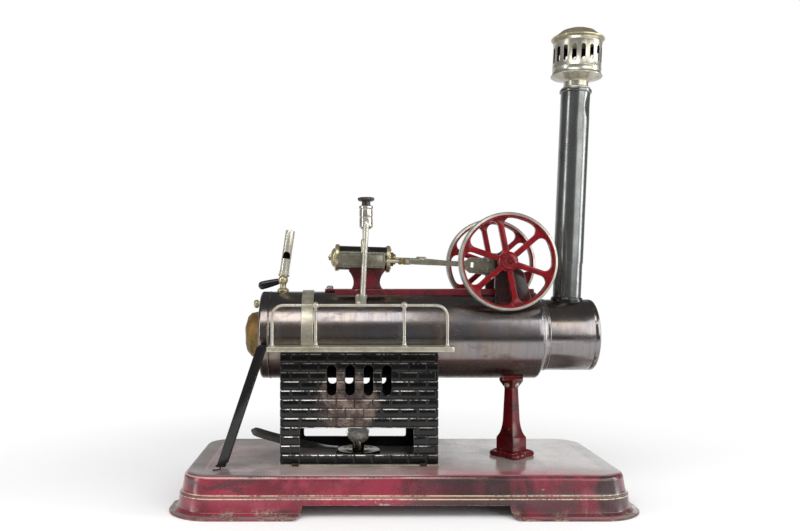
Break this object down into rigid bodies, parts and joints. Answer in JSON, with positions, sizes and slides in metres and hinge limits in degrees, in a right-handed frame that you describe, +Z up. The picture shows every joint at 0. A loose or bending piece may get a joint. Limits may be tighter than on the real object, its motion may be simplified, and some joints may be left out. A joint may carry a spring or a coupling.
{
  "type": "model steam engine",
  "caption": "Toy overtype steam engine: horizontal boiler on a brick firebox and column, twin flywheels, slide-valve cylinder, gallery and tall chimney.",
  "frame": {"origin": "middle of the base's footprint, at the height of the surface it stands on", "axes": "+X towards the chimney, +Y away from the gallery side, +Z up"},
  "size_m": [0.307, 0.142, 0.3329],
  "materials": {
    "base_crimson": "worn crimson enamel on tinplate",
    "firebox_black": "black enamel on embossed tinplate",
    "boiler_blued": "dark blued steel",
    "grey_steel": "dull grey steel",
    "nickel": "aged nickel plate",
    "pale_brass": "pale worn brass",
    "old_brass": "mottled tarnished brass",
    "cast_red": "dark red enamel on casting",
    "wheel_red": "glossy crimson enamel on cast iron",
    "bright_steel": "bare turned steel",
    "black_enamel": "black enamel",
    "wick_cotton": "frayed cotton"
  },
  "bodies": {
    "frame": {"base_tray": "base_crimson", "firebox_shell": "firebox_black", "firebox_tab_left": "pale_brass", "firebox_tab_right": "pale_brass", "boiler_barrel": "boiler_blued", "boiler_end_left": "boiler_blued", "boiler_end_right": "boiler_blued", "smokebox_collar": "grey_steel", "smokebox": "boiler_blued", "boiler_strap": "nickel", "end_dome": "old_brass", "end_stud_top": "pale_brass", "end_stud_bottom": "pale_brass", "support_column": "cast_red", "column_saddle": "cast_red", "saddle_screw_left": "nickel", "saddle_screw_right": "nickel", "chimney_socket": "grey_steel", "chimney_tube": "grey_steel", "crown_drum": "pale_brass", "crown_cap": "pale_brass", "gallery_platform": "nickel", "gallery_rail": "nickel", "rail_stanchion_left": "nickel", "rail_stanchion_right": "nickel", "gallery_ladder": "black_enamel", "engine_bed": "cast_red", "bed_screw": "bright_steel", "bearing_stand_front": "cast_red", "bearing_stand_rear": "cast_red", "bearing_bush_front": "old_brass", "bearing_bush_rear": "old_brass", "cylinder_barrel": "grey_steel", "cylinder_cover_rear": "nickel", "cylinder_cover_front": "nickel", "piston_gland": "pale_brass", "valve_chest": "grey_steel", "valve_chest_cover": "grey_steel", "valve_gland": "pale_brass", "cylinder_pedestal": "cast_red", "throttle_body": "nickel", "pipe_flange": "nickel", "steam_pipe": "nickel", "whistle_base": "pale_brass", "whistle_tube": "nickel"},
    "crank": {"crankshaft": "bright_steel", "flywheel_front": "wheel_red", "flywheel_rear": "wheel_red", "eccentric_sheave": "old_brass"},
    "connecting_rod": {"connecting_rod": "bright_steel"},
    "eccentric_strap": {"eccentric_strap": "bright_steel"},
    "piston": {"piston_rod": "bright_steel"},
    "valve": {"valve_spindle": "pale_brass", "slide_valve": "old_brass"},
    "throttle": {"throttle_knob": "black_enamel"},
    "whistle": {"whistle_lever": "black_enamel"},
    "burner": {"burner_tank": "old_brass", "burner_wick": "wick_cotton", "burner_handle": "black_enamel"}
  },
  "joints": [
    {"name": "crank_turn", "type": "hinge", "parent": "frame", "child": "crank", "pos_m": [0.0721, 0, 0.1647], "axis": [0, 1, 0], "continuous": true},
    {"name": "connecting_rod_turn", "type": "hinge", "parent": "crank", "child": "connecting_rod", "pos_m": [0.06345, 0.0032, 0.16189], "axis": [0, 1, 0], "continuous": true},
    {"name": "eccentric_strap_turn", "type": "hinge", "parent": "crank", "child": "eccentric_strap", "pos_m": [0.0721, -0.0143, 0.1622], "axis": [0, 1, 0], "continuous": true},
    {"name": "piston_slide", "type": "slide", "parent": "frame", "child": "piston", "axis": [0.9995, 0, -0.0314], "range_m": [0, 0.018]},
    {"name": "valve_slide", "type": "slide", "parent": "frame", "child": "valve", "axis": [0.9995, 0, -0.0314], "range_m": [-0.0025, 0.0025]},
    {"name": "throttle_turn", "type": "hinge", "parent": "frame", "child": "throttle", "pos_m": [-0.0236, -0.008, 0.2048], "axis": [0, 0, 1], "range_deg": [0, 360]},
    {"name": "whistle_lift", "type": "hinge", "parent": "frame", "child": "whistle", "pos_m": [-0.083, 0.0052, 0.1522], "axis": [0, 1, 0], "range_deg": [0, 80]},
    {"name": "burner_slide", "type": "slide", "parent": "frame", "child": "burner", "axis": [-1, 0, 0], "range_m": [0, 0.085]}
  ],
  "couplings": [
    {"joint": "connecting_rod_turn", "follows": "crank_turn", "ratio": -1},
    {"joint": "eccentric_strap_turn", "follows": "crank_turn", "ratio": -1}
  ]
}
